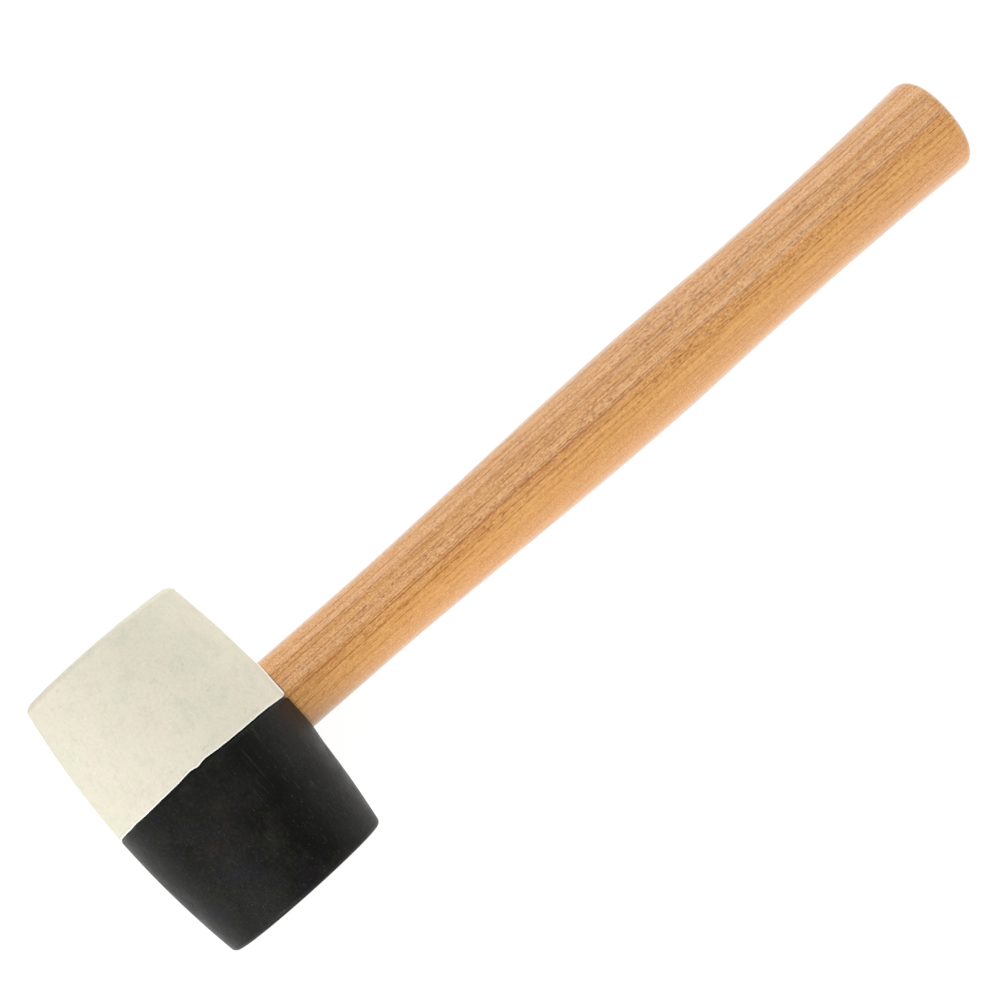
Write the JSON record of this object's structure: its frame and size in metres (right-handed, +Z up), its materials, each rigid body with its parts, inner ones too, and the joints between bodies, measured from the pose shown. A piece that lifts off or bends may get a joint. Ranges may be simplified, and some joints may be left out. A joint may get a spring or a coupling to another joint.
{
  "type": "rubber mallet",
  "caption": "Two-tone rubber mallet: barrel-shaped head, white rubber on one half and black on the other, on an oval lacquered hardwood handle with a flared butt.",
  "frame": {"origin": "on the floor under the middle of the mallet's bounding box, with the mallet lying down on its head's belly and its butt", "axes": "+X along the head's axis from the white striking face to the black one, +Y from the head towards the handle's butt, +Z up"},
  "size_m": [0.09, 0.3386, 0.0614],
  "materials": {
    "white_rubber": "matte cream-white moulded rubber with faint scuffs and stains",
    "black_rubber": "matte moulded rubber, soft grey sheen at grazing angles",
    "lacquered_wood": "pale ring-porous hardwood under clear satin lacquer, grain along the handle",
    "bare_wood": "sawn, unfinished hardwood",
    "cured_adhesive": "clear amber cured glue"
  },
  "bodies": {
    "root": {"head_white_half": "white_rubber", "head_black_half": "black_rubber", "handle": "lacquered_wood", "blind_wedge": "bare_wood", "eye_adhesive": "cured_adhesive"}
  },
  "joints": []
}
